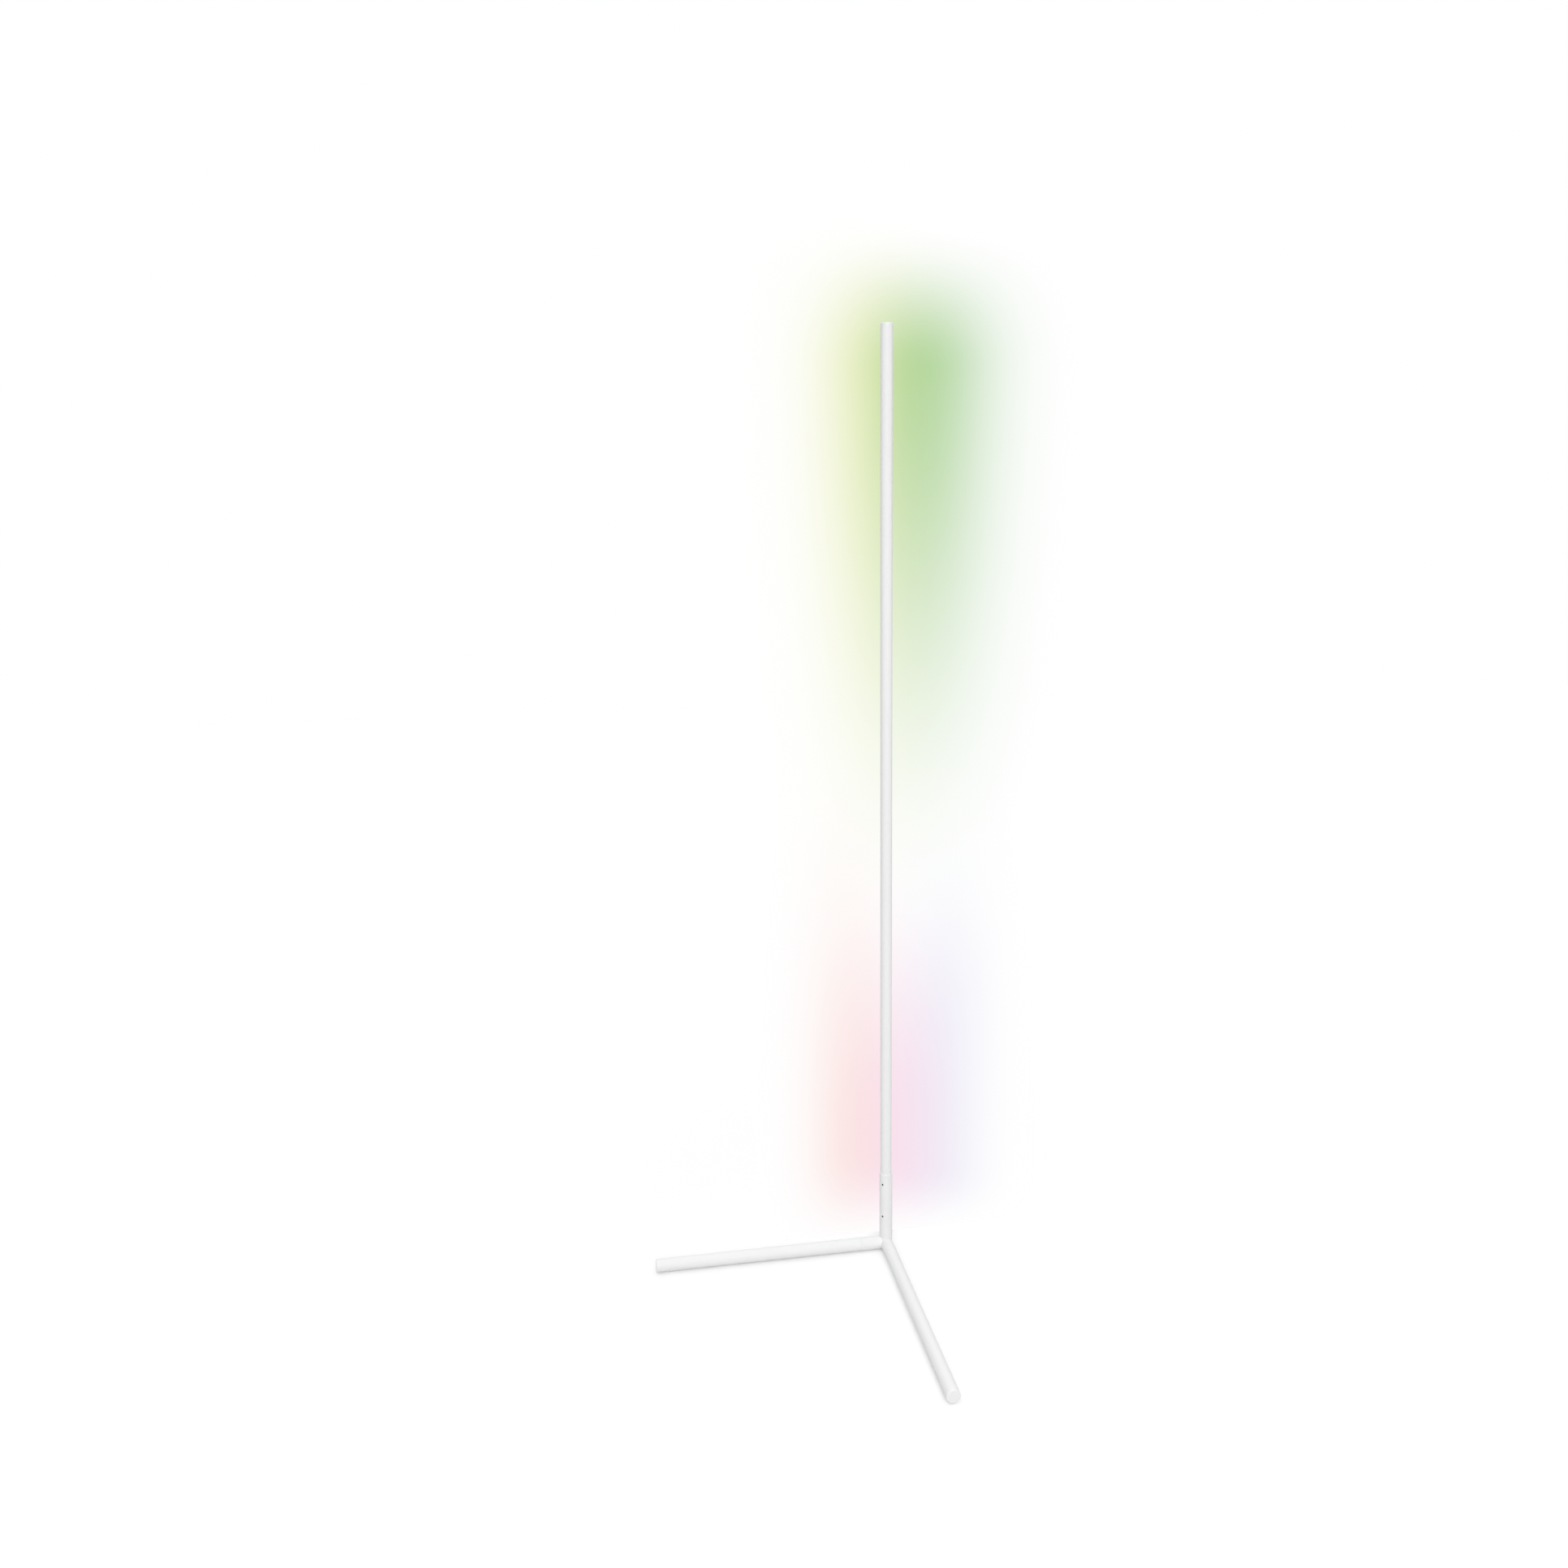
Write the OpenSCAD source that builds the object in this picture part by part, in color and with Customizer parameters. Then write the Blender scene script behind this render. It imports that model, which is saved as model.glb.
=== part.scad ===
// Corner floor lamp: a slim light column in a three-way tube joint, with two legs that lie
// along the two walls of a corner. Millimetres, +Z up, floor at z = 0, column on the Z axis.
// One leg runs along -X and the other along -Y. The light leaves towards +X +Y, into the corner.

/* [Overall size] */
// Height from the floor to the top of the column
overall_h = 1400; // [1000:10:1800]
// Reach of each leg, from the column's axis to the end face of its cap
leg_reach = 365; // [240:5:480]

/* [Corner joint] */
// Outer diameter of the three tubes that meet in the joint
joint_d = 20; // [19.6:0.1:20.6]
// Wall thickness of the joint's tubes
joint_wall = 2; // [1.7:0.1:2.2]
// Height of the rim of the upright tube above the floor
rim_h = 131; // [115:1:160]
// Length of each side arm, from the joint's centre to its end
arm_l = 38.5; // [34:0.5:50]
// Depth of the seat in the rim that takes the light column
seat_depth = 6; // [4:0.5:9]
// Rounding of the rim's outer edge
rim_round = 0.7; // [0.3:0.1:0.9]

/* [Set screws] */
// Nominal diameter of the two set screws on the room side
set_screw_d = 3; // [2.5:0.1:3.5]
// Drop from the rim to the upper set screw
upper_screw_drop = 17; // [13:0.5:20]
// Distance between the two set screws
screw_pitch = 54.5; // [40:0.5:58]

/* [Legs] */
// Outer diameter of the leg tubes
leg_d = 19.6; // [19:0.1:20]
// Wall thickness of the leg tubes
leg_wall = 2; // [1.6:0.1:2.3]
// Thickness of the ring between a side arm and its leg
ring_t = 3; // [1.5:0.1:4]
// Thickness of a leg cap's visible head
leg_cap_t = 3; // [2:0.1:6]
// Nominal diameter of the studs that join the legs to the arms
stud_d = 8; // [6:0.5:9]
// Length of each threaded bush
bush_l = 18; // [14:1:22]

/* [Feet] */
// Gap between the underside of the joint and the floor
floor_gap = 1.2; // [0.8:0.1:3]
// Diameter of the rubber feet
foot_d = 8; // [7:0.5:10]
// Distance from a leg's end face to its foot
foot_inset = 24; // [20:1:60]

/* [Light column] */
// Outer diameter of the light column
column_d = 17.4; // [17:0.1:18]
// Wall thickness of the aluminium profile and of the diffuser
column_wall = 1.3; // [1.1:0.1:1.4]
// Thickness of the web that carries the light board
web_t = 1.4; // [1.1:0.1:1.6]
// Half of the angle that the diffuser covers
diffuser_half_angle = 60; // [56:1:62]
// Thickness of the top cap's visible head
top_cap_t = 4; // [2:0.5:8]

/* [Light board] */
// Width of the light board and of the control board
board_w = 10; // [8:0.5:10]
// Thickness of both boards
board_t = 1; // [0.8:0.1:1.4]
// Distance from one light chip to the next
chip_pitch = 16.6; // [10:0.1:40]
// Length of the control board
control_l = 40; // [36:1:60]

/* [Power socket] */
// Height of the power socket's axis above the joint's centre
socket_lift = 9; // [7:0.5:12]
// Diameter of the socket's barrel opening
barrel_d = 5.6; // [5.5:0.1:5.8]

/* [Hidden] */
$fn = 96;

// Fits: a sliding fit, a tight fit that is pressed or glued, and the length of a cutter's overrun
slide_gap = 0.05;
tight_gap = 0.01;
over = 1;

// Corner joint
joint_r = joint_d / 2;
joint_bore_r = joint_r - joint_wall;
joint_z = floor_gap + joint_r;
post_l = rim_h - joint_z;
side_angles = [120, 240];
corner_axis = [-1, -1, 1];

// Light column section, in a frame where +X points into the corner
column_r = column_d / 2;
column_bore_r = column_r - column_wall;
column_z = rim_h - seat_depth;
cap_z = overall_h - top_cap_t;
web_front_x = -0.6;
web_back_x = web_front_x - web_t;
mouth_x = column_r * cos(diffuser_half_angle);
mouth_y = sqrt(pow(column_bore_r, 2) - pow(mouth_x, 2));
rail_h = 1.2;
rail_w = 0.55;
hook_t = 1;
hook_depth = 2.35;
hook_root = 0.85;
hook_y = mouth_y - slide_gap;
barb_top_x = mouth_x - 1.15;
barb_y = sqrt(pow(column_bore_r, 2) - pow(barb_top_x, 2)) - slide_gap;
barb_slope = 0.55;
hook_outline = [
    [mouth_x + hook_root, hook_y],
    [barb_top_x, hook_y],
    [barb_top_x, barb_y],
    [barb_top_x - barb_slope, barb_y],
    [mouth_x - hook_depth, hook_y]
];
cap_round = 1;
cap_plug_l = 8;

// Spigot that the column stands on
spigot_r = joint_bore_r - slide_gap;
screw_z_upper = rim_h - upper_screw_drop;
screw_z_lower = screw_z_upper - screw_pitch;
spigot_foot_l = 15;
spigot_z = screw_z_lower - spigot_foot_l;
tenon_l = 26;
tenon_z = column_z + tenon_l;
lead_x = -4.3;
lead_r = 1.5;
lead_bore_r = 1.7;

// Set screws: a body in the wall and a dog point in a dimple of the spigot
screw_r = set_screw_d / 2 - slide_gap;
screw_inset = 0.15;
dog_r = set_screw_d / 3;
dimple_depth = 0.85;
hex_d = 0.58 * set_screw_d;
hex_depth = 1.2;

// Screws that hold the spigot's tenon to the web
web_screw_r = 1;
web_screw_head_r = 1.85;
web_screw_head_h = 1.4;
cross_recess = [1.4, 0.5, 2.2];
web_screw_y = 3;
web_screw_reach = 3;
web_screw_rise = 8;
web_screw_pitch = 11;
web_screw_z = [column_z + web_screw_rise, column_z + web_screw_rise + web_screw_pitch];

// Route of the lead: up inside the post, then through the web in an S bend
bend_r = 3.2;
bend_z = tenon_z + 1;
bend_rise = 2 * bend_r;
front_lead_x = lead_x + bend_rise;
slot_w = 4.4;
slot_z = bend_z + 0.3;
slot_h = 6.1;
core_r = 0.55;
core_y = 0.8;
core_l = 5;

// Boards
board_x = web_front_x;
board_front_x = board_x + board_t;
control_z = bend_z + bend_rise + 0.2;
link_gap = 2;
link_size = [0.8, 8, 9];
light_board_z = control_z + control_l + link_gap;
light_board_end = cap_z - cap_plug_l - 1;
chip_end_gap = 6;
chip_size = [1.6, 5, 5];
chip_well_r = 2.1;
chip_well_depth = 0.5;
first_chip_z = light_board_z + 2 * chip_end_gap;
chip_count = floor((light_board_end - chip_end_gap - first_chip_z) / chip_pitch) + 1;

// Parts on the control board: sizes are height, width and length, places are along the board
terminal_size = [3.2, 7, 6];
terminal_at = 5;
terminal_z = control_z + terminal_at;
terminal_hole_r = 0.9;
terminal_hole_y = 1.7;
terminal_hole_at = 3.6;
terminal_hole_depth = 1;
processor_size = [0.9, 4, 4];
processor_at = 13;
radio_size = [1.8, 7, 9];
radio_at = 19;
switch_size = [1, 2.2, 3];
switch_at = 30;
switch_pitch = 2.8;

// Power socket, on the corner side of the post
socket_z = joint_z + socket_lift;
socket_r = 3.7;
socket_flange_r = 4.3;
socket_flange_t = 0.9;
socket_flat = 1;
socket_seat_x = joint_r - socket_flat;
socket_back_x = -2.7;
barrel_r = barrel_d / 2;
barrel_end_x = 1.4;
contact_t = 0.3;
contact_lip = 1;
socket_pin_r = 1;
socket_pin_end = socket_seat_x - 0.4;
socket_pin_back_x = socket_back_x - 0.6;
tag_t = 0.6;
tag_w = 1.4;
tag_end_x = -5;
tag_gap = 0.15;
tag_arm_y = -3;
tag_arm_w = 0.8;

// Legs, in a frame where +X runs along the leg
leg_r = leg_d / 2;
leg_bore_r = leg_r - leg_wall;
leg_start = arm_l + ring_t;
leg_end = leg_reach - leg_cap_t;
ring_chamfer = 0.4;
stud_r = stud_d / 2 - slide_gap;
stud_hole_r = stud_d / 2;
stud_cover = bush_l - 2;
leg_cap_round = 1.2;
leg_cap_plug_l = 12;
leg_cap_plug_wall = 1.6;

// Feet
foot_r = foot_d / 2;
foot_x = leg_reach - foot_inset;
foot_stem_r = 2;
foot_bead_r = 2.6;
foot_bead_h = 1.1;
foot_pocket = 0.9;
joint_bead_z = joint_z - sqrt(pow(joint_bore_r, 2) - pow(foot_bead_r, 2)) + slide_gap;

// Turns a sub-part so that its +X side faces the corner
module face_corner() {
    rotate([0, 0, 45])
        children();
}

// Places a leg's sub-part, drawn along +X at z = 0, on the left or the front leg
module on_left_leg() {
    translate([0, 0, joint_z])
        rotate([0, 0, 180])
            children();
}

module on_front_leg() {
    translate([0, 0, joint_z])
        rotate([0, 0, -90])
            children();
}

// A cylinder along +X from x0 to x1
module bar_x(x0, x1, r) {
    translate([x0, 0, 0])
        rotate([0, 90, 0])
            cylinder(r = r, h = x1 - x0);
}

// A disc on z = 0 whose upper outer edge is rounded
module rounded_disc(r, h, edge) {
    rotate_extrude() {
        square([r - edge, h]);
        square([r, h - edge]);
        translate([r - edge, h - edge])
            intersection() {
                circle(r = edge);
                square(edge);
            }
    }
}

// One arm of the joint, upright, mitred against the two others
module mitred_arm(r, l) {
    size = 4 * (r + l);
    intersection() {
        translate([0, 0, -r])
            cylinder(r = r, h = l + r);
        rotate([0, 45, 0])
            translate([-size / 2, -size / 2, 0])
                cube(size);
        rotate([-45, 0, 0])
            translate([-size / 2, -size / 2, 0])
                cube(size);
    }
}

// The three mitred arms together, around the joint's centre
module three_arms(r, up_l, side_l) {
    translate([0, 0, joint_z]) {
        mitred_arm(r, up_l);
        for (a = side_angles)
            rotate(a = a, v = corner_axis)
                mitred_arm(r, side_l);
    }
}

// What the rim's rounding takes off the upright tube
module rim_cutter() {
    translate([0, 0, rim_h - rim_round])
        rotate_extrude()
            translate([joint_r - rim_round, 0])
                difference() {
                    square(2 * rim_round);
                    circle(r = rim_round);
                }
}

// A set screw's hole through the room side of the post
module set_screw_hole(z) {
    face_corner()
        translate([0, 0, z])
            bar_x(-joint_r - over, -joint_bore_r + over, set_screw_d / 2);
}

module corner_joint() {
    color("white")
        difference() {
            three_arms(joint_r, post_l, arm_l);
            three_arms(joint_bore_r, post_l + over, arm_l + over);
            rim_cutter();
            translate([0, 0, column_z])
                cylinder(r = column_r + slide_gap, h = seat_depth + over);
            set_screw_hole(screw_z_upper);
            set_screw_hole(screw_z_lower);
            face_corner()
                translate([0, 0, socket_z]) {
                    bar_x(0, joint_r + over, socket_r + tight_gap);
                    bar_x(socket_seat_x, joint_r + over, socket_flange_r + slide_gap);
                }
            cylinder(r = foot_r + tight_gap, h = floor_gap + foot_pocket);
            cylinder(r = foot_stem_r + tight_gap, h = joint_z);
        }
}

// Outline of the D-shaped wiring channel behind the web, drawn in by a gap
module wiring_channel(gap) {
    intersection() {
        circle(r = column_bore_r - gap);
        translate([-column_d, -column_d])
            square([column_d + web_back_x - gap, 2 * column_d]);
    }
}

module column_spigot() {
    color("silver")
        face_corner()
            difference() {
                union() {
                    translate([0, 0, spigot_z])
                        cylinder(r = spigot_r, h = column_z - spigot_z);
                    translate([0, 0, column_z - over])
                        linear_extrude(tenon_l + over)
                            wiring_channel(slide_gap);
                }
                translate([lead_x, 0, spigot_z - over])
                    cylinder(r = lead_bore_r, h = tenon_z - spigot_z + 2 * over);
                for (z = [screw_z_upper, screw_z_lower])
                    translate([0, 0, z])
                        bar_x(-spigot_r - over, -spigot_r + dimple_depth, dog_r + slide_gap);
                for (side = [0, 1])
                    translate([0, (2 * side - 1) * web_screw_y, web_screw_z[side]])
                        bar_x(web_back_x - web_screw_reach, 0, web_screw_r + tight_gap);
            }
}

// Two pan-head screws from the light channel through the web into the tenon
module spigot_screws() {
    color("dimgray")
        face_corner()
            for (side = [0, 1])
                translate([0, (2 * side - 1) * web_screw_y, web_screw_z[side]]) {
                    bar_x(web_back_x - web_screw_reach, web_front_x, web_screw_r);
                    difference() {
                        bar_x(web_front_x, web_front_x + web_screw_head_h, web_screw_head_r);
                        for (turn = [0, 90])
                            translate([web_front_x + web_screw_head_h, 0, 0])
                                rotate([turn, 0, 0])
                                    cube(cross_recess, center = true);
                    }
                }
}

// A dog-point set screw with a hexagon socket, at height z
module set_screw(z) {
    color("black")
        face_corner()
            translate([0, 0, z])
                difference() {
                    union() {
                        bar_x(-joint_r + screw_inset, -joint_bore_r, screw_r);
                        bar_x(-joint_bore_r - over, -spigot_r + dimple_depth, dog_r);
                    }
                    translate([-joint_r, 0, 0])
                        rotate([0, 90, 0])
                            cylinder(d = hex_d, h = hex_depth + screw_inset, $fn = 6);
                }
}

module set_screw_upper() {
    set_screw(screw_z_upper);
}

module set_screw_lower() {
    set_screw(screw_z_lower);
}

// Section of the aluminium profile: a room-side shell, a web and two rails for the boards
module profile_section() {
    difference() {
        circle(r = column_r);
        intersection() {
            circle(r = column_bore_r);
            translate([web_front_x, -column_d])
                square(2 * column_d);
        }
        translate([mouth_x, -column_d])
            square(2 * column_d);
        wiring_channel(0);
    }
    for (side = [-1, 1])
        translate([web_front_x + (rail_h - over) / 2, side * (board_w / 2 + slide_gap + rail_w / 2)])
            square([rail_h + over, rail_w], center = true);
}

module light_profile() {
    color("white")
        face_corner()
            difference() {
                translate([0, 0, column_z])
                    linear_extrude(cap_z - column_z)
                        profile_section();
                translate([web_back_x - over, -slot_w / 2, slot_z])
                    cube([web_t + 2 * over, slot_w, slot_h]);
                for (side = [0, 1])
                    translate([0, (2 * side - 1) * web_screw_y, web_screw_z[side]])
                        bar_x(web_back_x - over, web_front_x + over, web_screw_r + slide_gap);
            }
}

// Section of the diffuser: an arc that closes the mouth, and two hooks that snap under its rims
module diffuser_section() {
    inner_y = hook_y - hook_t;
    far_side = [for (i = [len(hook_outline) - 1 : -1 : 0]) [hook_outline[i].x, -hook_outline[i].y]];
    difference() {
        union() {
            intersection() {
                circle(r = column_r);
                translate([mouth_x, -column_r])
                    square([column_r, column_d]);
            }
            polygon(concat(hook_outline, far_side));
        }
        intersection() {
            circle(r = column_bore_r);
            translate([0, -inner_y])
                square([column_r, 2 * inner_y]);
        }
    }
}

module diffuser() {
    color("lightyellow")
        face_corner()
            translate([0, 0, column_z])
                linear_extrude(cap_z - column_z)
                    diffuser_section();
}

// Cap with a rounded head and two plugs, one in the wiring channel and one in the light channel
module top_cap() {
    plug_w = 2 * (hook_y - hook_t - slide_gap);
    color("white")
        face_corner() {
            translate([0, 0, cap_z])
                rounded_disc(column_r, top_cap_t, cap_round);
            translate([0, 0, cap_z - cap_plug_l])
                linear_extrude(cap_plug_l + over) {
                    wiring_channel(slide_gap);
                    intersection() {
                        circle(r = column_bore_r - slide_gap);
                        translate([web_front_x + rail_h + slide_gap, -plug_w / 2])
                            square([column_r, plug_w]);
                    }
                }
        }
}

module light_board() {
    color("whitesmoke")
        face_corner()
            translate([board_x, -board_w / 2, light_board_z])
                cube([board_t, board_w, light_board_end - light_board_z]);
}

// One light chip, a square package with a round well in its face, centred at height z
module light_chip(z) {
    translate([board_front_x, 0, z])
        difference() {
            translate([0, -chip_size[1] / 2, -chip_size[2] / 2])
                cube(chip_size);
            bar_x(chip_size[0] - chip_well_depth, chip_size[0] + over, chip_well_r);
        }
}

// Every second chip of the row, starting with chip number first
module chip_row(first) {
    for (i = [first : 2 : chip_count - 1])
        light_chip(first_chip_z + i * chip_pitch);
}

module colour_chips() {
    color("gold")
        face_corner()
            chip_row(0);
}

module white_chips() {
    color("khaki")
        face_corner()
            chip_row(1);
}

module control_board() {
    color("darkgreen")
        face_corner()
            translate([board_x, -board_w / 2, control_z])
                cube([board_t, board_w, control_l]);
}

// A block on the control board's face, at a distance from its lower end and off its middle by y
module board_block(size, at, y) {
    translate([board_front_x, y - size[1] / 2, control_z + at])
        cube(size);
}

// The processor and three channel switches on the control board
module control_chips() {
    color("black")
        face_corner() {
            board_block(processor_size, processor_at, 0);
            for (i = [-1 : 1])
                board_block(switch_size, switch_at, i * switch_pitch);
        }
}

// Shielded radio receiver on the control board
module radio_module() {
    color("silver")
        face_corner()
            board_block(radio_size, radio_at, 0);
}

// Block on the control board that the supply lead ends in, with two screw holes in its face
module lead_terminal() {
    face_x = board_front_x + terminal_size[0];
    color("white")
        face_corner()
            difference() {
                board_block(terminal_size, terminal_at, 0);
                for (side = [-1, 1])
                    translate([0, side * terminal_hole_y, terminal_z + terminal_hole_at])
                        bar_x(face_x - terminal_hole_depth, face_x + over, terminal_hole_r);
            }
}

// Bridge that joins the control board to the light board
module board_link() {
    color("black")
        face_corner()
            translate([board_front_x, -link_size[1] / 2, light_board_z - (link_size[2] + link_gap) / 2])
                cube(link_size);
}

// A quarter of a round bend in the plane y = 0, which starts upright at x = 0, z = 0
// and leans towards +X with its path at bend_r
module quarter_bend() {
    translate([bend_r, 0, 0])
        rotate([90, 0, 0])
            rotate([0, 0, 90])
                rotate_extrude(angle = 90)
                    translate([bend_r, 0])
                        circle(r = lead_r);
}

// Two-core lead from the power socket's tags to the terminal on the control board
module supply_lead() {
    core_z = socket_z + tag_t / 2;
    color("black")
        face_corner() {
            for (side = [-1, 1])
                translate([lead_x, side * core_y, core_z])
                    cylinder(r = core_r, h = core_l + over);
            translate([lead_x, 0, core_z + core_l])
                cylinder(r = lead_r, h = bend_z - core_z - core_l);
            translate([lead_x, 0, bend_z])
                quarter_bend();
            translate([front_lead_x, 0, bend_z + bend_rise])
                rotate([0, 180, 0])
                    quarter_bend();
            translate([front_lead_x, 0, bend_z + bend_rise])
                cylinder(r = lead_r, h = terminal_z - bend_z - bend_rise);
        }
}

module power_socket_body() {
    color("black")
        face_corner()
            translate([0, 0, socket_z])
                difference() {
                    union() {
                        bar_x(socket_back_x, socket_seat_x, socket_r);
                        bar_x(socket_seat_x, socket_seat_x + socket_flange_t, socket_flange_r);
                    }
                    bar_x(barrel_end_x, joint_r + over, barrel_r);
                    bar_x(barrel_end_x, socket_seat_x - contact_lip, barrel_r + contact_t);
                    bar_x(socket_back_x - over, barrel_end_x + over, socket_pin_r + tight_gap);
                    translate([socket_back_x - over, tag_arm_y, -tag_t / 2])
                        cube([barrel_end_x - socket_back_x + 2 * over, tag_arm_w, tag_t]);
                }
}

// Sleeve contact inside the barrel, with an arm and a tag at the back
module power_socket_contact() {
    color("silver")
        face_corner()
            translate([0, 0, socket_z]) {
                difference() {
                    bar_x(barrel_end_x, socket_seat_x - contact_lip, barrel_r + contact_t - tight_gap);
                    bar_x(barrel_end_x - over, joint_r, barrel_r);
                }
                translate([tag_end_x, tag_arm_y + tight_gap, -tag_t / 2 + tight_gap])
                    cube([barrel_end_x - tag_end_x + over, tag_arm_w - 2 * tight_gap, tag_t - 2 * tight_gap]);
                translate([tag_end_x, tag_arm_y + tight_gap, -tag_t / 2 + tight_gap])
                    cube([tag_w, -tag_arm_y - tag_gap, tag_t - 2 * tight_gap]);
            }
}

// Centre pin of the power socket, with its tag at the back
module power_socket_pin() {
    color("silver")
        face_corner()
            translate([0, 0, socket_z]) {
                bar_x(socket_pin_back_x, socket_pin_end, socket_pin_r);
                translate([tag_end_x, tag_gap, -tag_t / 2])
                    cube([socket_back_x - tag_gap - tag_end_x, socket_pin_r - tag_gap, tag_t]);
            }
}

// The rubber foot's stem passes the wall of its tube; this is the stem's hole, below the axis
module foot_stem_hole(r) {
    translate([foot_x, 0, -joint_z])
        cylinder(r = r, h = joint_z);
}

module leg_tube() {
    color("white")
        difference() {
            bar_x(leg_start, leg_end, leg_r);
            bar_x(leg_start - over, leg_end + over, leg_bore_r);
            foot_stem_hole(foot_stem_r + tight_gap);
        }
}

module leg_tube_left() {
    on_left_leg()
        leg_tube();
}

module leg_tube_front() {
    on_front_leg()
        leg_tube();
}

// Chamfered ring that is clamped between an arm and its leg
module leg_ring() {
    color("gainsboro")
        translate([arm_l, 0, 0])
            rotate([0, 90, 0])
                rotate_extrude()
                    polygon([
                        [stud_hole_r + slide_gap, 0],
                        [joint_r - ring_chamfer, 0],
                        [joint_r, ring_chamfer],
                        [joint_r, ring_t - ring_chamfer],
                        [joint_r - ring_chamfer, ring_t],
                        [stud_hole_r + slide_gap, ring_t]
                    ]);
}

module leg_ring_left() {
    on_left_leg()
        leg_ring();
}

module leg_ring_front() {
    on_front_leg()
        leg_ring();
}

module leg_stud() {
    color("dimgray")
        bar_x(arm_l - stud_cover, leg_start + stud_cover, stud_r);
}

module leg_stud_left() {
    on_left_leg()
        leg_stud();
}

module leg_stud_front() {
    on_front_leg()
        leg_stud();
}

// Threaded bush from x0 to x1 in a tube of the given bore
module threaded_bush(x0, x1, bore_r) {
    color("slategray")
        difference() {
            bar_x(x0, x1, bore_r - tight_gap);
            bar_x(x0 - over, x1 + over, stud_hole_r);
        }
}

module arm_bush_left() {
    on_left_leg()
        threaded_bush(arm_l - bush_l, arm_l, joint_bore_r);
}

module arm_bush_front() {
    on_front_leg()
        threaded_bush(arm_l - bush_l, arm_l, joint_bore_r);
}

module leg_bush_left() {
    on_left_leg()
        threaded_bush(leg_start, leg_start + bush_l, leg_bore_r);
}

module leg_bush_front() {
    on_front_leg()
        threaded_bush(leg_start, leg_start + bush_l, leg_bore_r);
}

// Cap with a rounded head and a hollow plug
module leg_cap() {
    plug_r = leg_bore_r - tight_gap;
    color("white") {
        translate([leg_end, 0, 0])
            rotate([0, 90, 0])
                rounded_disc(leg_r, leg_cap_t, leg_cap_round);
        difference() {
            bar_x(leg_end - leg_cap_plug_l, leg_end + over, plug_r);
            bar_x(leg_end - leg_cap_plug_l - over, leg_end, plug_r - leg_cap_plug_wall);
        }
    }
}

module leg_cap_left() {
    on_left_leg()
        leg_cap();
}

module leg_cap_front() {
    on_front_leg()
        leg_cap();
}

// Rubber foot under a leg: a pad cut to the tube's round, a stem, and a bead inside the tube
module leg_foot() {
    color("dimgray") {
        difference() {
            translate([foot_x, 0, -joint_z])
                cylinder(r = foot_r, h = joint_z);
            bar_x(leg_start, leg_end, leg_r);
        }
        intersection() {
            translate([foot_x, 0, -leg_r])
                cylinder(r = foot_stem_r, h = leg_wall + foot_bead_h);
            bar_x(leg_start, leg_end, leg_r + over);
        }
        intersection() {
            translate([foot_x, 0, -leg_r])
                cylinder(r = foot_bead_r, h = leg_wall + foot_bead_h);
            bar_x(leg_start, leg_end, leg_bore_r);
        }
    }
}

module foot_left() {
    on_left_leg()
        leg_foot();
}

module foot_front() {
    on_front_leg()
        leg_foot();
}

// Rubber foot under the joint: a pad that fills the flat pocket, a stem and a bead inside the joint
module foot_joint() {
    color("dimgray") {
        cylinder(r = foot_r, h = floor_gap + foot_pocket);
        cylinder(r = foot_stem_r, h = joint_bead_z + foot_bead_h);
        translate([0, 0, joint_bead_z])
            cylinder(r = foot_bead_r, h = foot_bead_h);
    }
}

corner_joint();
column_spigot();
spigot_screws();
set_screw_upper();
set_screw_lower();
light_profile();
diffuser();
top_cap();
light_board();
colour_chips();
white_chips();
control_board();
control_chips();
radio_module();
lead_terminal();
board_link();
supply_lead();
power_socket_body();
power_socket_contact();
power_socket_pin();
leg_tube_left();
leg_tube_front();
leg_ring_left();
leg_ring_front();
leg_stud_left();
leg_stud_front();
arm_bush_left();
arm_bush_front();
leg_bush_left();
leg_bush_front();
leg_cap_left();
leg_cap_front();
foot_joint();
foot_left();
foot_front();
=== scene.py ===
import json
import math

import bpy
from mathutils import Matrix, Vector


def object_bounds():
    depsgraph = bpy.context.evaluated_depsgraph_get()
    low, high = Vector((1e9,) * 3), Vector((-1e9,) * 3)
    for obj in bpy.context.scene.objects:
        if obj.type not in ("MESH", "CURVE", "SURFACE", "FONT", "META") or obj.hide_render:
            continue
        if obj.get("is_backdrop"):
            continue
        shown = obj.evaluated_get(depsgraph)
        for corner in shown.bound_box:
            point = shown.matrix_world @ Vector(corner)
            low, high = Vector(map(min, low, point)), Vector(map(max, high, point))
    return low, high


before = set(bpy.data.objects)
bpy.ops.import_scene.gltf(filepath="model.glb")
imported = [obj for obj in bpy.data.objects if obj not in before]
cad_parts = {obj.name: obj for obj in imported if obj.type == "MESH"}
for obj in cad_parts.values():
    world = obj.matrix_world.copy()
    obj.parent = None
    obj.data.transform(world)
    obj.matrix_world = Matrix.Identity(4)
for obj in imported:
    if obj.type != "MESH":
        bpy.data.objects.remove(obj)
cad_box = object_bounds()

# Corner floor lamp, in metres. The column stands on the Z axis, one leg runs along -X and one
# along -Y, and the lit side faces the corner, towards +X +Y.

# Camera, fitted to the photograph: column top, joint and both leg ends
IMAGE_SIDE = 1932
FOCAL_PIXELS = 1474.3109
SENSOR_MM = 36.0
CAMERA_AT = (-0.420347, -1.691700, 1.088333)
CAMERA_YAW = 8.9816
CAMERA_PITCH = -10.8270
CAMERA_ROLL = -0.8852

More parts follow.
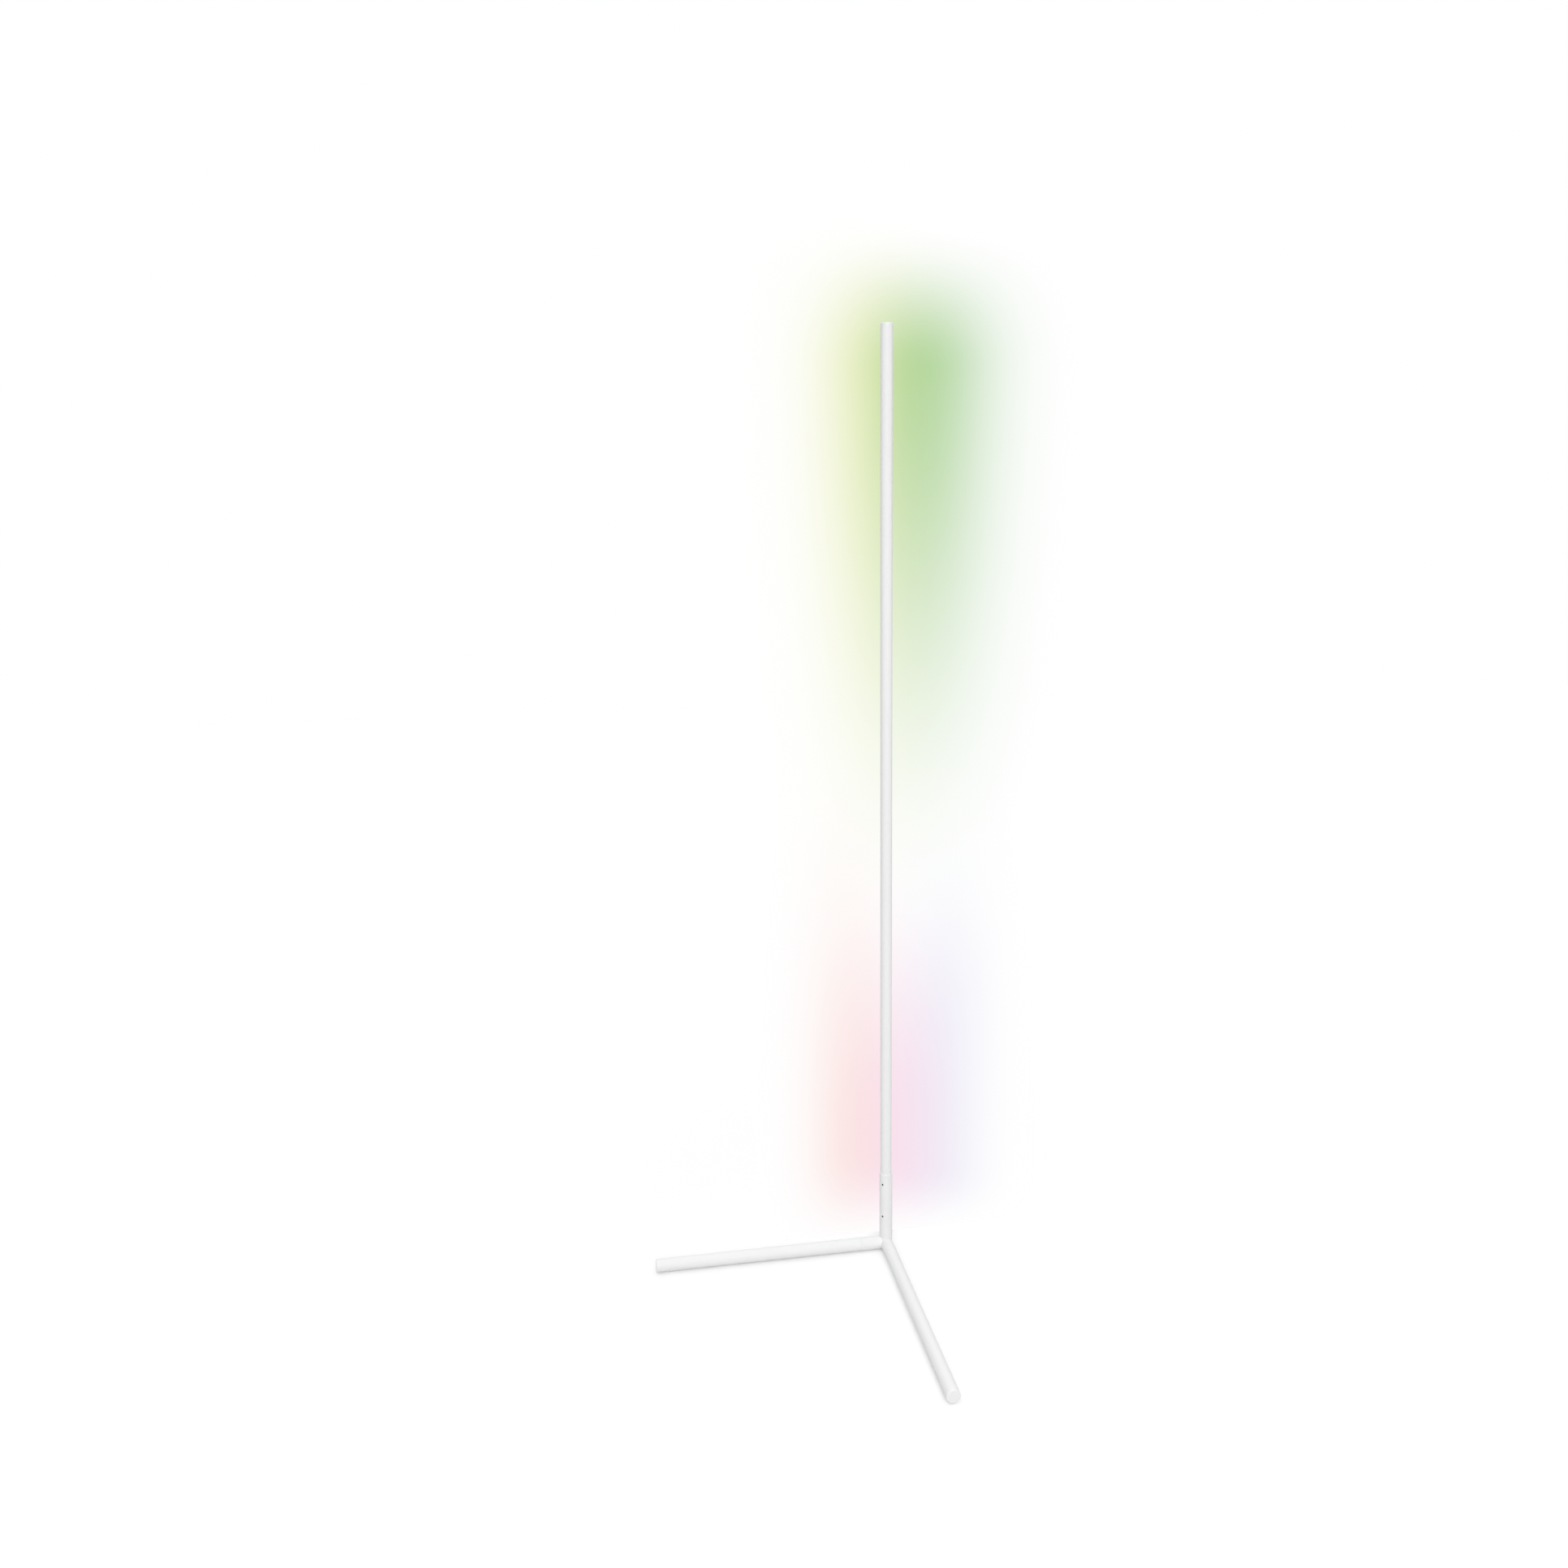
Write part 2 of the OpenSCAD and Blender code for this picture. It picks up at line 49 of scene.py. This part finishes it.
# Sizes of the lamp that the materials follow
COLUMN_TOP = 1.400
COLUMN_FOOT = 0.125
CHIP_PITCH = 0.0166
CHIP_START = 0.2126
CHIP_WELL_R = 0.0021
DIFFUSER_HALF_FACE = 0.009
DIFFUSER_FADE = 0.085
TRACK_PITCH = 0.0013

# Where most of a noise texture's values lie
NOISE_LOW = 0.3
NOISE_HIGH = 0.7

# Light on the lamp, as shares of full white: the world, two far lamps, and a softbox, whose share
# is meant at one metre from it
WORLD_LIGHT = 0.15
KEY_LIGHT = 0.30
SKY_LIGHT = 0.58
SOFTBOX_LIGHT = 1.08
SOFTBOX_AT = (0.0, -2.0, 1.5)
SOFTBOX_AIM = (0.0, 0.0, 1.0)
SOFTBOX_SIDE = 0.8
# Light that the floor is seen to give by itself, so that it looks white outside the shadows: at
# the lamp, and far off, where the softbox no longer reaches
FLOOR_LIFT_NEAR = 0.23
FLOOR_LIFT_FAR = 0.34
FLOOR_NEAR = 0.3
FLOOR_FAR = 1.5

# The stage: a square floor, and an upright wall close behind the lamp
FLOOR_SIDE = 14.0
WALL_Y = 0.045
WALL_LEFT = -0.6
WALL_RIGHT = 0.7
WALL_BOTTOM = 0.002
WALL_TOP = 1.75
# Soft patches of light on the wall. Each has its colour, its centre and width across the wall,
# the heights between which it rises, and the heights between which it falls.
WALL_GLOW = (
    ((1.00, 0.97, 0.69), (-0.010, 0.064, 0.48, 1.46, 1.33, 1.56)),
    ((0.45, 0.68, 0.38), (0.068, 0.077, 0.51, 1.48, 1.34, 1.54)),
    ((0.98, 0.86, 0.82), (-0.053, 0.048, -0.03, 0.15, 0.17, 0.82)),
    ((0.90, 0.91, 0.97), (0.110, 0.050, -0.01, 0.10, 0.33, 0.72)),
    ((0.97, 0.80, 0.89), (0.028, 0.061, -0.02, 0.12, 0.20, 0.63)),
)
# Share of the patches' light from which the wall hides what is behind it
WALL_COVER = 0.02


# ---------------------------------------------------------------- shader helpers

class Shader:
    """A material's node tree, with short calls for the nodes that this scene uses."""

    def __init__(self, name):
        self.material = bpy.data.materials.new(name)
        self.material.use_nodes = True
        self.tree = self.material.node_tree
        self.surface = self.tree.nodes["Principled BSDF"]
        self.output = self.tree.nodes["Material Output"]
        self.place = self.add("ShaderNodeTexCoord").outputs["Object"]

    def add(self, kind, **settings):
        node = self.tree.nodes.new(kind)
        for key, value in settings.items():
            setattr(node, key, value)
        return node

    def join(self, socket, value):
        """Links a socket to another node's output, or sets it to a plain value."""
        if isinstance(value, bpy.types.NodeSocket):
            self.tree.links.new(value, socket)
        else:
            socket.default_value = value

    def put(self, **values):
        """Sets or links the surface's own sockets. Names have _ for a space."""
        for key, value in values.items():
            self.join(self.surface.inputs[key.replace("_", " ")], value)

    def math(self, operation, a, b=0.0):
        node = self.add("ShaderNodeMath", operation=operation)
        self.join(node.inputs[0], a)
        self.join(node.inputs[1], b)
        return node.outputs[0]

    def axes(self):
        """The three coordinates of a point, in metres."""
        node = self.add("ShaderNodeSeparateXYZ")
        self.join(node.inputs[0], self.place)
        return node.outputs[0], node.outputs[1], node.outputs[2]

    def stretched(self, scale):
        """The coordinates times three factors, for a texture that runs along an axis."""
        node = self.add("ShaderNodeVectorMath", operation="MULTIPLY")
        self.join(node.inputs[0], self.place)
        self.join(node.inputs[1], scale)
        return node.outputs[0]

    def noise(self, scale, detail=2.0, rough=0.5, vector=None):
        node = self.add("ShaderNodeTexNoise")
        self.join(node.inputs["Vector"], vector or self.place)
        self.join(node.inputs["Scale"], scale)
        self.join(node.inputs["Detail"], detail)
        self.join(node.inputs["Roughness"], rough)
        return node.outputs["Fac"]

    def spots(self, scale):
        """Distance to the nearest of many scattered points."""
        node = self.add("ShaderNodeTexVoronoi")
        self.join(node.inputs["Vector"], self.place)
        self.join(node.inputs["Scale"], scale)
        return node.outputs["Distance"]

    def span(self, value, from_low, from_high, to_low, to_high, smooth=False):
        node = self.add("ShaderNodeMapRange")
        node.interpolation_type = "SMOOTHSTEP" if smooth else "LINEAR"
        self.join(node.inputs["Value"], value)
        self.join(node.inputs["From Min"], from_low)
        self.join(node.inputs["From Max"], from_high)
        self.join(node.inputs["To Min"], to_low)
        self.join(node.inputs["To Max"], to_high)
        return node.outputs["Result"]

    def spread(self, texture, low, high):
        """Spreads the usual values of a noise over a range."""
        return self.span(texture, NOISE_LOW, NOISE_HIGH, low, high)

    def across(self, x, y):
        """Distance of a point from the lamp's upright plane of symmetry, in metres."""
        return self.math("MULTIPLY", self.math("SUBTRACT", y, x), math.sqrt(0.5))

    def radius(self, a, b):
        """Distance from an axis, from the two coordinates across it."""
        squares = self.math("ADD", self.math("POWER", a, 2.0), self.math("POWER", b, 2.0))
        return self.math("SQRT", squares)

    def mix(self, share, first, second, blend="MIX"):
        node = self.add("ShaderNodeMix", data_type="RGBA", blend_type=blend)
        self.join(node.inputs["Factor"], share)
        self.join(node.inputs[6], first)
        self.join(node.inputs[7], second)
        return node.outputs[2]

    def bump(self, height, depth, under=None):
        """Bump of a depth in metres, laid over another bump if one is given."""
        node = self.add("ShaderNodeBump")
        self.join(node.inputs["Height"], height)
        self.join(node.inputs["Strength"], 1.0)
        self.join(node.inputs["Distance"], depth)
        if under is not None:
            self.join(node.inputs["Normal"], under)
        return node.outputs["Normal"]


def rgba(red, green, blue):
    return (red, green, blue, 1.0)


# ---------------------------------------------------------------- materials of the lamp

def powder_coat(name, runs_along=None):
    """White satin powder coat: soft orange peel, a finer grain on it and a faint change of tone."""
    s = Shader(name)
    cloud = s.noise(9.0, 2.0)
    peel = s.noise(620.0, 1.5)
    grain = s.spots(2600.0)
    cool_white = rgba(0.893, 0.895, 0.897)
    warm_white = rgba(0.908, 0.908, 0.906)
    tone = s.mix(s.spread(cloud, 0.0, 1.0), cool_white, warm_white)
    tone = s.mix(s.span(peel, 0.35, 0.65, 0.0, 0.25), tone, rgba(0.875, 0.877, 0.880))
    s.put(Base_Color=tone, Roughness=s.spread(peel, 0.50, 0.62))
    normal = s.bump(peel, 0.000020)
    normal = s.bump(grain, 0.000006, normal)
    if runs_along:
        lines = s.noise(1.0, 3.0, 0.6, s.stretched(runs_along))
        normal = s.bump(lines, 0.000004, normal)
    s.put(Normal=normal, Specular_IOR_Level=0.2)
    return s.material


def white_plastic():
    """Moulded white plastic with a fine spark texture."""
    s = Shader("white_plastic")
    spark = s.noise(2400.0, 3.0, 0.6)
    flow = s.noise(40.0, 2.0)
    tone = s.mix(s.spread(flow, 0.0, 1.0), rgba(0.885, 0.886, 0.885), rgba(0.902, 0.901, 0.896))
    s.put(Base_Color=tone, Roughness=s.spread(spark, 0.42, 0.55))
    s.put(Normal=s.bump(spark, 0.000010), Specular_IOR_Level=0.4)
    return s.material


def opal_diffuser():
    """Opal plastic, lit from inside: green at the top, white in the middle, rose and violet below."""
    s = Shader("opal_diffuser")
    x, y, z = s.axes()
    height = s.span(z, COLUMN_FOOT, COLUMN_TOP, 0.0, 1.0)
    ramp = s.add("ShaderNodeValToRGB")
    s.join(ramp.inputs[0], height)
    stops = ramp.color_ramp.elements
    stops[0].position = 0.0
    stops[0].color = rgba(0.50, 0.10, 0.42)
    stops[1].position = 1.0
    stops[1].color = rgba(0.14, 0.50, 0.05)
    for position, colour in (
        (0.14, rgba(0.52, 0.20, 0.50)),
        (0.34, rgba(0.44, 0.36, 0.44)),
        (0.48, rgba(0.42, 0.42, 0.40)),
        (0.68, rgba(0.30, 0.46, 0.24)),
        (0.88, rgba(0.17, 0.50, 0.08)),
    ):
        stop = stops.new(position)
        stop.color = colour
    side = s.span(s.math("SUBTRACT", x, y), -DIFFUSER_HALF_FACE, DIFFUSER_HALF_FACE, 0.0, 1.0, True)
    warm = s.mix(1.0, ramp.outputs[0], rgba(1.12, 1.0, 0.86), "MULTIPLY")
    cool = s.mix(1.0, ramp.outputs[0], rgba(0.90, 1.0, 1.15), "MULTIPLY")
    glow = s.mix(side, warm, cool)
    beat = s.math("MULTIPLY", s.math("SUBTRACT", z, CHIP_START), 2.0 * math.pi / CHIP_PITCH)
    dots = s.span(s.math("COSINE", beat), -1.0, 1.0, 0.90, 1.0)
    lit = s.span(z, COLUMN_FOOT, COLUMN_FOOT + DIFFUSER_FADE, 0.12, 1.0, True)
    haze = s.noise(300.0, 2.0)
    milky = s.mix(s.spread(haze, 0.0, 1.0), rgba(0.60, 0.60, 0.59), rgba(0.63, 0.63, 0.62))
    s.put(
        Base_Color=milky,
        Roughness=s.spread(haze, 0.34, 0.42),
        Normal=s.bump(s.noise(1500.0, 2.0), 0.000006),
        Emission_Color=glow,
        Emission_Strength=s.math("MULTIPLY", dots, lit),
        Specular_IOR_Level=0.4,
    )
    return s.material


def black_oxide():
    """Blackened steel of the set screws."""
    s = Shader("black_oxide")
    mottle = s.noise(1800.0, 3.0)
    s.put(
        Base_Color=s.mix(mottle, rgba(0.010, 0.010, 0.012), rgba(0.035, 0.033, 0.032)),
        Roughness=s.spread(mottle, 0.32, 0.50),
        Metallic=0.85,
        Normal=s.bump(mottle, 0.000008),
    )
    return s.material


def turned_metal(name, dark, light, rough):
    """Bare metal with fine turning marks and small changes of gloss."""
    s = Shader(name)
    marks = s.noise(3200.0, 2.0, 0.7)
    smear = s.noise(180.0, 2.0)
    s.put(
        Base_Color=s.mix(s.spread(smear, 0.0, 1.0), dark, light),
        Roughness=s.spread(marks, rough - 0.06, rough + 0.08),
        Metallic=1.0,
        Normal=s.bump(marks, 0.000005),
    )
    return s.material


def circuit_board(name, mask, track, pad):
    """Solder mask over raised tracks that run along the board, with a few bare pads."""
    s = Shader(name)
    x, y, z = s.axes()
    across = s.across(x, y)
    cell = s.math("MULTIPLY", s.math("ABSOLUTE", across), 1.0 / TRACK_PITCH)
    lane = s.math("FRACT", cell)
    raised = s.span(lane, 0.55, 0.65, 0.0, 1.0)
    row = s.math("FRACT", s.math("MULTIPLY", z, 1.0 / CHIP_PITCH))
    bare = s.math("MULTIPLY", s.math("LESS_THAN", row, 0.07), s.math("GREATER_THAN", lane, 0.6))
    weave = s.noise(1400.0, 2.0)
    tone = s.mix(raised, mask, track)
    tone = s.mix(bare, tone, pad)
    s.put(
        Base_Color=tone,
        Roughness=s.spread(weave, 0.30, 0.42),
        Metallic=s.math("MULTIPLY", bare, 0.9),
        Normal=s.bump(weave, 0.000006, s.bump(raised, 0.000035)),
    )
    return s.material


def light_chip(name, well):
    """White package whose round well holds a coloured face, by the distance from each chip's axis."""
    s = Shader(name)
    x, y, z = s.axes()
    across = s.across(x, y)
    steps = s.math("MULTIPLY", s.math("SUBTRACT", z, CHIP_START), 1.0 / CHIP_PITCH)
    nearest = s.math("ROUND", steps)
    along = s.math("MULTIPLY", s.math("SUBTRACT", steps, nearest), CHIP_PITCH)
    inside = s.math("LESS_THAN", s.radius(across, along), CHIP_WELL_R)
    grain = s.noise(2500.0, 2.0)
    face = s.mix(grain, well, rgba(0.95, 0.93, 0.80))
    s.put(
        Base_Color=s.mix(inside, rgba(0.84, 0.83, 0.80), face),
        Roughness=s.span(inside, 0.0, 1.0, 0.45, 0.14),
        Normal=s.bump(grain, 0.000005),
    )
    return s.material


def black_plastic():
    """Black moulded plastic with a fine grain."""
    s = Shader("black_plastic")
    grain = s.noise(2600.0, 3.0, 0.6)
    s.put(
        Base_Color=s.mix(grain, rgba(0.018, 0.018, 0.020), rgba(0.042, 0.041, 0.040)),
        Roughness=s.spread(grain, 0.38, 0.56),
        Normal=s.bump(grain, 0.000012),
    )
    return s.material


def lead_jacket():
    """Soft black jacket of the supply lead, with faint draw lines along it."""
    s = Shader("lead_jacket")
    drawn = s.noise(1.0, 3.0, 0.6, s.stretched((2600.0, 2600.0, 30.0)))
    s.put(
        Base_Color=s.mix(drawn, rgba(0.022, 0.022, 0.024), rgba(0.050, 0.050, 0.050)),
        Roughness=s.spread(drawn, 0.52, 0.66),
        Normal=s.bump(drawn, 0.000015),
    )
    return s.material


def white_rubber():
    """Matt white rubber of the feet, with a fine grain and a trace of dust."""
    s = Shader("white_rubber")
    grain = s.noise(2200.0, 3.0, 0.65)
    dust = s.span(s.noise(420.0, 3.0), 0.55, 0.75, 0.0, 0.5)
    s.put(
        Base_Color=s.mix(dust, rgba(0.80, 0.80, 0.795), rgba(0.72, 0.715, 0.70)),
        Roughness=s.spread(grain, 0.74, 0.90),
        Normal=s.bump(grain, 0.000030),
        Specular_IOR_Level=0.3,
    )
    return s.material


def dress_nodes():
    """Gives every packed sub-part its material."""
    coat = powder_coat("powder_coat")
    drawn_coat = powder_coat("powder_coat_on_profile", (900.0, 900.0, 6.0))
    plastic = white_plastic()
    oxide = black_oxide()
    zinc = turned_metal("zinc_plated_steel", rgba(0.46, 0.47, 0.50), rgba(0.62, 0.62, 0.60), 0.34)
    bare = turned_metal("bare_aluminium", rgba(0.66, 0.66, 0.67), rgba(0.78, 0.78, 0.78), 0.36)
    tin = turned_metal("tinned_steel", rgba(0.62, 0.62, 0.60), rgba(0.76, 0.76, 0.73), 0.30)
    nickel = turned_metal("nickel_plate", rgba(0.66, 0.64, 0.58), rgba(0.80, 0.78, 0.72), 0.22)
    moulded = black_plastic()
    rubber = white_rubber()
    pad = rgba(0.80, 0.62, 0.28)
    white_board = circuit_board("white_board", rgba(0.80, 0.80, 0.77), rgba(0.84, 0.84, 0.81), pad)
    green_mask = rgba(0.010, 0.075, 0.028)
    green_track = rgba(0.016, 0.120, 0.045)
    dressing = {
        "corner_joint": coat,
        "column_spigot": bare,
        "spigot_screws": zinc,
        "set_screw_upper": oxide,
        "set_screw_lower": oxide,
        "light_profile": drawn_coat,
        "diffuser": opal_diffuser(),
        "top_cap": plastic,
        "light_board": white_board,
        "colour_chips": light_chip("colour_chip", rgba(0.62, 0.64, 0.60)),
        "white_chips": light_chip("white_chip", rgba(0.90, 0.66, 0.12)),
        "control_board": circuit_board("green_board", green_mask, green_track, pad),
        "control_chips": moulded,
        "radio_module": tin,
        "lead_terminal": plastic,
        "board_link": moulded,
        "supply_lead": lead_jacket(),
        "power_socket_body": moulded,
        "power_socket_contact": nickel,
        "power_socket_pin": nickel,
        "foot_joint": rubber,
    }
    for side in ("left", "front"):
        dressing["leg_tube_" + side] = coat
        dressing["leg_ring_" + side] = coat
        dressing["leg_stud_" + side] = zinc
        dressing["arm_bush_" + side] = zinc
        dressing["leg_bush_" + side] = zinc
        dressing["leg_cap_" + side] = plastic
        dressing["foot_" + side] = rubber
    for name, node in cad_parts.items():
        node.data.materials.clear()
        node.data.materials.append(dressing[name])


# ---------------------------------------------------------------- floor, wall and light

def seen_ray(s):
    """1 for rays that see the backdrop itself: from the camera, in gloss and through glass."""
    path = s.add("ShaderNodeLightPath")
    seen = s.math("MAXIMUM", path.outputs["Is Camera Ray"], path.outputs["Is Glossy Ray"])
    return s.math("MAXIMUM", seen, path.outputs["Is Transmission Ray"])


def make_sheet(name, corners, material):
    """A flat sheet of the stage, from its four corners."""
    mesh = bpy.data.meshes.new(name)
    mesh.from_pydata(corners, [], [(0, 1, 2, 3)])
    mesh.materials.append(material)
    sheet = bpy.data.objects.new(name, mesh)
    bpy.context.scene.collection.objects.link(sheet)
    return sheet


def floor_material():
    """Pale floor. It is lit like the lamp, and seen with enough light added to reach white."""
    s = Shader("floor")
    fleck = s.noise(60.0, 3.0)
    x, y, z = s.axes()
    reach = s.radius(x, y)
    lift = s.span(reach, FLOOR_NEAR, FLOOR_FAR, FLOOR_LIFT_NEAR, FLOOR_LIFT_FAR, True)
    s.put(
        Base_Color=s.mix(fleck, rgba(0.79, 0.79, 0.79), rgba(0.81, 0.81, 0.81)),
        Roughness=0.9,
        Specular_IOR_Level=0.0,
        Emission_Color=rgba(1.0, 1.0, 1.0),
        Emission_Strength=s.math("MULTIPLY", seen_ray(s), lift),
    )
    return s.material


def make_floor():
    """Lays the floor under the lamp."""
    half = FLOOR_SIDE / 2
    corners = [(-half, -half, 0.0), (half, -half, 0.0), (half, half, 0.0), (-half, half, 0.0)]
    floor = make_sheet("floor", corners, floor_material())
    floor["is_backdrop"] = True


def lobe(s, x, z, centre, width, foot, low, high, top):
    """A soft patch of light on the wall: a bell across, and a rise and fall in height."""
    offset = s.math("MULTIPLY", s.math("SUBTRACT", x, centre), 1.0 / width)
    bell = s.math("EXPONENT", s.math("MULTIPLY", s.math("POWER", offset, 2.0), -0.5))
    rise = s.span(z, foot, low, 0.0, 1.0, True)
    fall = s.span(z, high, top, 1.0, 0.0, True)
    return s.math("MULTIPLY", bell, s.math("MULTIPLY", rise, fall))


def wall_material():
    """Coloured light on white, clear where no patch reaches and when seen from behind."""
    s = Shader("wall")
    x, y, z = s.axes()
    tint = rgba(1.0, 1.0, 1.0)
    total = 0.0
    for colour, place in WALL_GLOW:
        share = lobe(s, x, z, *place)
        tint = s.mix(share, tint, s.mix(1.0, tint, rgba(*colour), "MULTIPLY"))
        total = s.math("ADD", total, share)
    light = s.add("ShaderNodeEmission")
    s.join(light.inputs["Color"], tint)
    clear = s.add("ShaderNodeBsdfTransparent")
    facing = s.math("SUBTRACT", 1.0, s.add("ShaderNodeNewGeometry").outputs["Backfacing"])
    cover = s.math("MULTIPLY", facing, s.span(total, 0.0, WALL_COVER, 0.0, 1.0, True))
    blend = s.add("ShaderNodeMixShader")
    s.join(blend.inputs[0], cover)
    s.join(blend.inputs[1], clear.outputs[0])
    s.join(blend.inputs[2], light.outputs[0])
    s.join(s.output.inputs["Surface"], blend.outputs[0])
    s.tree.nodes.remove(s.surface)
    return s.material


def make_wall():
    """Puts up the wall that shows the lamp's coloured light. It neither lights nor shades the lamp."""
    corners = [
        (WALL_LEFT, WALL_Y, WALL_BOTTOM),
        (WALL_RIGHT, WALL_Y, WALL_BOTTOM),
        (WALL_RIGHT, WALL_Y, WALL_TOP),
        (WALL_LEFT, WALL_Y, WALL_TOP),
    ]
    wall = make_sheet("wall", corners, wall_material())
    wall.visible_diffuse = False
    wall.visible_glossy = False
    wall.visible_transmission = False
    wall.visible_shadow = False
    wall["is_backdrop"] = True


def make_world():
    """Even light from all round, seen as plain white."""
    world = bpy.data.worlds.new("studio")
    world.use_nodes = True
    bpy.context.scene.world = world
    tree = world.node_tree
    path = tree.nodes.new("ShaderNodeLightPath")
    outputs = [path.outputs[n] for n in ("Is Camera Ray", "Is Glossy Ray", "Is Transmission Ray")]
    seen = outputs[0]
    for other in outputs[1:]:
        larger = tree.nodes.new("ShaderNodeMath")
        larger.operation = "MAXIMUM"
        tree.links.new(seen, larger.inputs[0])
        tree.links.new(other, larger.inputs[1])
        seen = larger.outputs[0]
    level = tree.nodes.new("ShaderNodeMapRange")
    level.inputs["To Min"].default_value = WORLD_LIGHT
    level.inputs["To Max"].default_value = 1.0
    tree.links.new(seen, level.inputs["Value"])
    background = tree.nodes["Background"]
    background.inputs["Color"].default_value = rgba(1.0, 1.0, 1.0)
    tree.links.new(level.outputs["Result"], background.inputs["Strength"])


def make_sun(name, azimuth, elevation, share, softness):
    """A soft far lamp. Azimuth 0 is towards -Y, and all three angles are in degrees."""
    light = bpy.data.lights.new(name, "SUN")
    light.energy = share * math.pi
    light.angle = math.radians(softness)
    sun = bpy.data.objects.new(name, light)
    a = math.radians(azimuth)
    e = math.radians(elevation)
    away = Vector((math.sin(a) * math.cos(e), -math.cos(a) * math.cos(e), math.sin(e)))
    sun.rotation_euler = away.to_track_quat("Z", "Y").to_euler()
    sun.location = away * 3.0
    bpy.context.scene.collection.objects.link(sun)


def make_softbox():
    """A square soft lamp in front of the column, unseen itself."""
    light = bpy.data.lights.new("softbox", "AREA")
    light.energy = SOFTBOX_LIGHT * math.pi ** 2
    light.size = SOFTBOX_SIDE
    softbox = bpy.data.objects.new("softbox", light)
    away = Vector(SOFTBOX_AT) - Vector(SOFTBOX_AIM)
    softbox.rotation_euler = away.to_track_quat("Z", "Y").to_euler()
    softbox.location = SOFTBOX_AT
    softbox.visible_camera = False
    bpy.context.scene.collection.objects.link(softbox)


def make_camera():
    """Camera at the photograph's place, direction and angle of view."""
    data = bpy.data.cameras.new("camera")
    data.sensor_fit = "HORIZONTAL"
    data.sensor_width = SENSOR_MM
    data.lens = FOCAL_PIXELS * SENSOR_MM / IMAGE_SIDE
    data.clip_start = 0.01
    data.clip_end = 100.0
    camera = bpy.data.objects.new("camera", data)
    yaw = math.radians(CAMERA_YAW)
    pitch = math.radians(CAMERA_PITCH)
    roll = math.radians(CAMERA_ROLL)
    ahead = Vector((math.sin(yaw) * math.cos(pitch), math.cos(yaw) * math.cos(pitch), math.sin(pitch)))
    level = Vector((math.cos(yaw), -math.sin(yaw), 0.0))
    upright = level.cross(ahead)
    right = level * math.cos(roll) + upright * math.sin(roll)
    up = upright * math.cos(roll) - level * math.sin(roll)
    turn = Matrix((right, up, -ahead)).transposed()
    camera.matrix_world = Matrix.Translation(CAMERA_AT) @ turn.to_4x4()
    bpy.context.scene.collection.objects.link(camera)
    bpy.context.scene.camera = camera


def write_sizes():
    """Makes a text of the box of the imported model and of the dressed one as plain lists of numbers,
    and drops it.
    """
    dressed_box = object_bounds()
    rows = [
        '"cad": ' + json.dumps([list(corner) for corner in cad_box]),
        '"visual": ' + json.dumps([list(corner) for corner in dressed_box]),
    ]
    "{\n" + ",\n".join(rows) + "\n}\n"


make_camera()
dress_nodes()
make_floor()
make_wall()
make_world()
make_sun("key_light", azimuth=-12.0, elevation=35.0, share=KEY_LIGHT, softness=40.0)
make_sun("sky_light", azimuth=180.0, elevation=75.0, share=SKY_LIGHT, softness=120.0)
make_softbox()
bpy.context.scene.view_settings.view_transform = "Standard"
write_sizes()
